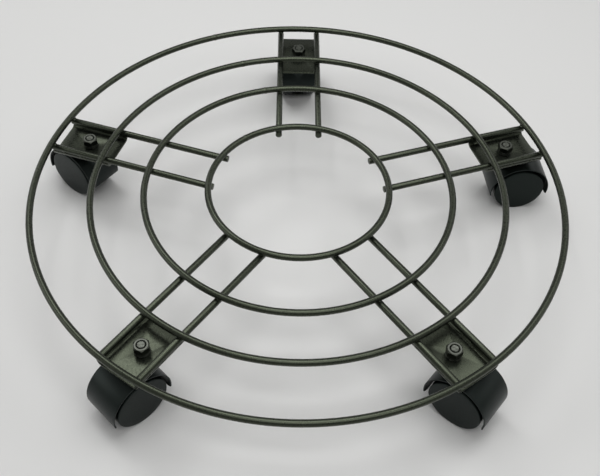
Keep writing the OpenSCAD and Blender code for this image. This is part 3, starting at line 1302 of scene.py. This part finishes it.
@dataclass
class Casters(Assembly):
    """The hoods, axles and wheels of the five casters."""

    hood_out: float = 30.2
    hood_in: float = 28.2
    skirt_drop: float = 5.3
    web_steps: tuple[int, int] = (72, 24)
    rim_round: float = 0.3
    rim_steps: int = 4
    rim_taper: tuple[float, float] = (1.0, 3.5)
    taper_line: Profile = field(default_factory=lambda: [(1.0, 0.0), (0.75, 0.1), (0.3, 0.5), (0.0, 1.0)])
    boss_radius: float = 8.0
    boss_foot: tuple[float, float] = (2.0, 0.2)
    boss_low: float = 34.2
    boss_flare: float = 2.2
    flare_steps: int = 5
    flare_sink: float = 0.6
    boss_edge: float = 0.5
    axle_boss: float = 8.0
    socket_radius: float = 4.05
    pocket_gap: float = 0.5
    cut_past: tuple[float, float, float] = (1.0, 5.0, 2.0)
    axle_radius: float = 3.0
    press_gap: float = 0.02
    run_gap: float = 0.06
    hub_radius: float = 6.5
    hub_chamfer: float = 0.4
    rim_t: float = 3.0
    disc_t: float = 2.0
    disc_flat: float = 6.0
    bore_depth: float = 10.6
    shoulder: float = 0.9
    shoulder_steps: int = 6
    rib_count: int = 6
    rib_t: float = 1.6
    rib_drop: float = 1.5
    hood_crease: float = 35.0
    wheel_crease: float = 30.0

    @property
    def axle_centre(self) -> tuple[float, float]:
        """The axle's place along the trail and above the floor."""
        return self.sizes.trail, self.sizes.wheel_radius

    def _end_angle(self, radius: float) -> float:
        """Angle from the axle's level at which an arc of the hood ends."""
        return -math.degrees(math.asin(self.skirt_drop / radius))

    def shell(self) -> Mesh:
        """Makes the hood's curved shell, with rounded outer rims.

        Returns:
            The mesh, in the caster's frame.
        """
        half, out, inn, e = self.sizes.hood_half, self.hood_out, self.hood_in, self.rim_round
        thin, deep = self.rim_taper
        taper = [(inn + a * thin, half - b * deep) for a, b in self.taper_line]
        section = [
            *MeshWork.arc((out - e, half - e), e, 0, 90, self.rim_steps),
            *taper,
            *((r, -w) for r, w in reversed(taper)),
            *MeshWork.arc((out - e, -half + e), e, -90, 0, self.rim_steps),
        ]
        cx, cz = self.axle_centre
        steps = Grade.FINE.value
        rows = []
        for k in range(steps + 1):
            row = []
            for r, w in section:
                low = self._end_angle(r)
                a = math.radians(low + (180 - 2 * low) * k / steps)
                row.append(Vector((cx + r * math.cos(a), w, cz + r * math.sin(a))))
            rows.append(row)
        return MeshWork.loft("hood_shell", rows)

    def web(self) -> Mesh:
        """Makes the plate between the wheels, with the boss for the axle.

        Returns:
            The mesh, in the caster's frame.
        """
        middle = (self.hood_in + self.hood_out) / 2
        end, boss_end = self._end_angle(middle), self._end_angle(self.axle_boss)
        over, under = self.web_steps
        outline = [
            *MeshWork.arc(self.axle_centre, middle, end, 180 - end, over),
            *MeshWork.arc(self.axle_centre, self.axle_boss, 180 - boss_end, 360 + boss_end, under),
        ]
        half = self.sizes.web_half
        mesh = MeshWork.extrude("hood_web", [(x, -z) for x, z in outline], -half, half)
        return MeshWork.moved(mesh, turn(-90, "X"))

    def _shell_top(self, x: float) -> float:
        """Height of the shell's outer face at a place along the trail."""
        cx, cz = self.axle_centre
        return cz + math.sqrt(max(0.0, self.hood_out**2 - (cx - x) ** 2))

    def boss(self) -> Mesh:
        """Makes the round boss for the stem, which flares into the shell.

        Returns:
            The mesh, in the caster's frame.
        """
        r0, f, grade = self.boss_radius, self.boss_flare, Grade.MEDIUM
        rows = [MeshWork.ring(r0 - d, self.boss_low, grade) for d in self.boss_foot]
        for step in range(self.flare_steps + 1):
            t = math.radians(90 * step / self.flare_steps)
            lift = f * (1 - math.cos(t)) - (0 if step else self.flare_sink)
            row = MeshWork.ring(r0 + f * (1 - math.sin(t)), 0, grade)
            for point, inner in zip(row, MeshWork.ring(r0, 0, grade)):
                point.z = min(self._shell_top(point.x), self._shell_top(inner.x) + f) + lift
            rows.append(row)
        top = MeshWork.edge(r0, self.sizes.socket_top, self.boss_edge, -1)
        rows += [MeshWork.ring(r, z, grade) for r, z in top]
        return MeshWork.loft("hood_boss", rows)

    def across(self, name: str, radius: float, low: float, high: float) -> Mesh:
        """Makes a round cutter along the axle's line.

        Args:
            name: Name of the mesh.
            radius: Its radius.
            low: Its lower end along the axle.
            high: Its upper end along the axle.

        Returns:
            The mesh, in the caster's frame.
        """
        cx, cz = self.axle_centre
        mesh = MeshWork.rod(name, radius, low, high, Grade.CUTTER)
        return MeshWork.moved(mesh, shift(cx, 0, cz) @ turn(-90, "X"))

    def hood(self) -> Mesh:
        """Makes a whole hood.

        Returns:
            The mesh, in the caster's frame.
        """
        s = self.sizes
        past_side, past_top, past_web = self.cut_past
        boss, reach = self.boss(), s.hood_half + past_side
        for low, high in ((s.web_half, reach), (-reach, -s.web_half)):
            pocket = self.across("pocket", self.hood_in + self.pocket_gap, low, high)
            boss = MeshWork.combined(boss, pocket, "DIFFERENCE")
        body = MeshWork.combined(self.shell(), self.web(), "UNION")
        body = MeshWork.combined(body, boss, "UNION")
        low, high = s.socket_top - s.socket_depth, s.socket_top + past_top
        socket = MeshWork.rod("socket", self.socket_radius, low, high, Grade.HOLE)
        half = s.web_half + past_web
        bore = self.across("bore", self.axle_radius + self.press_gap, -half, half)
        for cutter in (socket, bore):
            body = MeshWork.combined(body, cutter, "DIFFERENCE")
        body.name = "caster_hood"
        return MeshWork.smooth(body, self.hood_crease)

    def wheel(self) -> Mesh:
        """Makes one wheel about Z, with its open side at 0 and its closed disc on top.

        Returns:
            The mesh.
        """
        r, w, e = self.sizes.wheel_radius, self.sizes.wheel_w, self.shoulder
        bore, hub, recess = self.axle_radius + self.run_gap, self.hub_radius, w - self.disc_t
        profile: Profile = [
            (0, w),
            (r - self.disc_flat, w),
            *reversed(MeshWork.arc((r - e, w - e), e, 0, 90, self.shoulder_steps)),
            *reversed(MeshWork.arc((r - e, e), e, -90, 0, self.shoulder_steps)),
            (r - self.rim_t, 0),
            (r - self.rim_t, recess),
            (hub, recess),
            (hub, self.hub_chamfer),
            (hub - self.hub_chamfer, 0),
            (bore, 0),
            (bore, self.bore_depth),
            (0, self.bore_depth),
        ]
        disc = MeshWork.lathe("wheel_disc", profile, Grade.FINE, self.wheel_crease)
        half = self.rib_t / 2
        near, far = hub - half, r - self.rim_t / 2
        outline = [(near, -half), (far, -half), (far, half), (near, half)]
        for k in range(self.rib_count):
            rib = MeshWork.extrude("rib", outline, self.rib_drop, w - self.disc_t / 2)
            disc = MeshWork.combined(disc, MeshWork.moved(rib, turn(360 * k / self.rib_count)), "UNION")
        disc.name = "caster_wheel"
        return MeshWork.smooth(disc, self.wheel_crease)

    def build(self) -> None:
        """Shows the hoods and wheels, and dresses the axles."""
        s = self.sizes
        hood, wheel = self.hood(), self.wheel()
        cx, cz = self.axle_centre
        for leg in Leg:
            place = s.caster_place(leg)
            node, body = f"hood_{leg.value}", f"caster_{leg.value}"
            self.show(f"{node}_moulded", hood, self.finishes.hood, place, node, body)
            for side in Side:
                spot = shift(cx, side.value * (s.web_half + s.wheel_gap), cz) @ turn(-90 * side.value, "X")
                node = f"wheel_{leg.value}_{side.word}"
                self.show(f"{node}_moulded", wheel, self.finishes.wheel, place @ spot, node, node)
            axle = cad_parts[f"axle_{leg.value}"]
            axle.data.materials.clear()
            axle.data.materials.append(self.finishes.dull_zinc.material)


@dataclass(frozen=True)
class Lamp:
    """A soft rectangular lamp that faces a point, in metres and watts."""

    name: str
    place: tuple[float, float, float]
    target: tuple[float, float, float]
    size: tuple[float, float]
    power: float

    def build(self) -> None:
        """Adds the lamp to the scene."""
        data = bpy.data.lights.new(self.name, "AREA")
        data.shape = "RECTANGLE"
        data.size, data.size_y = self.size
        data.energy = self.power
        lamp = bpy.data.objects.new(self.name, data)
        lamp.location = self.place
        aim = Vector(self.target) - Vector(self.place)
        lamp.rotation_euler = aim.to_track_quat("-Z", "Y").to_euler()
        bpy.context.scene.collection.objects.link(lamp)


LAMPS = (
    Lamp("over_centre", (0.0, 0.1, 1.5), (0.0, 0.1, 0.0), (0.8, 0.8), 8.5),
    Lamp("over_left", (-0.65, 0.8, 1.5), (-0.65, 0.8, 0.0), (0.8, 0.7), 7.5),
    Lamp("over_right", (0.8, 0.5, 1.5), (0.8, 0.5, 0.0), (0.8, 1.0), 5.6),
    Lamp("over_front", (0.3, -0.9, 1.5), (0.3, -0.9, 0.0), (1.5, 0.7), 9.0),
    Lamp("side_left", (-1.8, 0.0, 0.8), (0.0, 0.0, 0.06), (1.2, 0.8), 5.0),
    Lamp("side_right", (1.8, 0.0, 0.8), (0.0, 0.0, 0.06), (1.2, 0.8), 2.4),
    Lamp("back_left", (-1.3, 1.4, 0.9), (0.0, 0.0, 0.06), (0.8, 0.8), 2.0),
    Lamp("back_right", (1.3, 1.4, 0.9), (0.0, 0.0, 0.06), (0.8, 0.8), 1.6),
)


@dataclass(frozen=True)
class Studio:
    """A pale floor, soft lamps and the camera at the photograph's angle."""

    camera_place: tuple[float, float, float] = (-12.44, -582.87, 680.95)
    heading: float = -1.503
    pitch: float = 49.247
    roll: float = 1.959
    lens: float = 52.93
    sensor: float = 36.0
    clip: tuple[float, float] = (0.05, 50.0)
    floor_half: float = 6.0
    floor_colour: Colour = (0.76, 0.76, 0.75)
    floor_roughness: float = 0.9
    floor_specular: float = 0.1
    mirrored: float = 0.4
    fade: tuple[float, float] = (0.7, 1.9)

    def backdrop_share(self, nodes: NodeBuilder) -> NodeSocket:
        """Adds the share of the pale backdrop that a ray sees.

        Args:
            nodes: Builder for the tree of the floor or the world.

        Returns:
            The share: full for the camera, less in reflections, none for the light.
        """
        path = nodes.add("ShaderNodeLightPath").outputs
        mirror = nodes.math("MAXIMUM", path["Is Glossy Ray"], path["Is Transmission Ray"])
        reflected = nodes.math("MULTIPLY", mirror, self.mirrored)
        return nodes.math("MAXIMUM", path["Is Camera Ray"], reflected)

    def floor_material(self) -> Material:
        """Makes the floor's material, which passes into the pale backdrop far from the caddy.

        Returns:
            The material.
        """
        material = bpy.data.materials.new("pale_floor")
        material.use_nodes = True
        material.node_tree.nodes.clear()
        nodes = NodeBuilder(material.node_tree)
        lit = nodes.add(
            "ShaderNodeBsdfPrincipled",
            {
                "Base Color": self.floor_colour,
                "Roughness": self.floor_roughness,
                "Specular IOR Level": self.floor_specular,
            },
        ).outputs[0]
        place = nodes.add("ShaderNodeTexCoord").outputs["Object"]
        reach = nodes.add("ShaderNodeVectorMath", {0: place}, operation="LENGTH").outputs["Value"]
        share = nodes.math("MULTIPLY", nodes.spread(reach, *self.fade), self.backdrop_share(nodes))
        pale = nodes.add("ShaderNodeEmission", {"Color": self.floor_colour}).outputs[0]
        mix = nodes.add("ShaderNodeMixShader", {0: share, 1: lit, 2: pale}).outputs[0]
        nodes.add("ShaderNodeOutputMaterial", {"Surface": mix})
        return material

    def floor(self) -> None:
        """Makes the floor."""
        h = self.floor_half
        mesh = bpy.data.meshes.new("floor")
        mesh.from_pydata([(-h, -h, 0), (h, -h, 0), (h, h, 0), (-h, h, 0)], [], [(0, 1, 2, 3)])
        mesh.materials.append(self.floor_material())
        floor = bpy.data.objects.new("floor", mesh)
        bpy.context.scene.collection.objects.link(floor)

    def light(self) -> None:
        """Sets the lamps and the world."""
        for lamp in LAMPS:
            lamp.build()
        world = bpy.data.worlds.new("studio")
        world.use_nodes = True
        world.node_tree.nodes.clear()
        nodes = NodeBuilder(world.node_tree)
        inputs = {"Color": self.floor_colour, "Strength": self.backdrop_share(nodes)}
        pale = nodes.add("ShaderNodeBackground", inputs).outputs[0]
        nodes.add("ShaderNodeOutputWorld", {"Surface": pale})
        bpy.context.scene.world = world

    def camera(self) -> None:
        """Makes the camera."""
        data = bpy.data.cameras.new("camera")
        data.lens = self.lens
        data.sensor_width = self.sensor
        data.clip_start, data.clip_end = self.clip
        camera = bpy.data.objects.new("camera", data)
        aim = turn(self.heading) @ turn(90 - self.pitch, "X") @ turn(self.roll)
        camera.matrix_world = shift(*self.camera_place) @ aim
        bpy.context.scene.collection.objects.link(camera)
        bpy.context.scene.camera = camera

    def build(self) -> None:
        """Sets up the floor, the lamps and the camera."""
        bpy.context.scene.view_settings.view_transform = "Standard"
        self.floor()
        self.light()
        self.camera()


def main() -> None:
    """Builds the caddy and its studio."""
    logging.basicConfig(level=logging.INFO, format="%(name)s: %(message)s")
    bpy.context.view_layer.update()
    sizes, finishes = CaddySizes(), Finishes()
    for kind in (HoopSet, RodPairs, WeldBeads, Brackets, Fasteners, Casters):
        kind(sizes, finishes).build()
        LOG.info("built %s", kind.__name__)
    Studio().build()


if __name__ == "__main__":
    main()
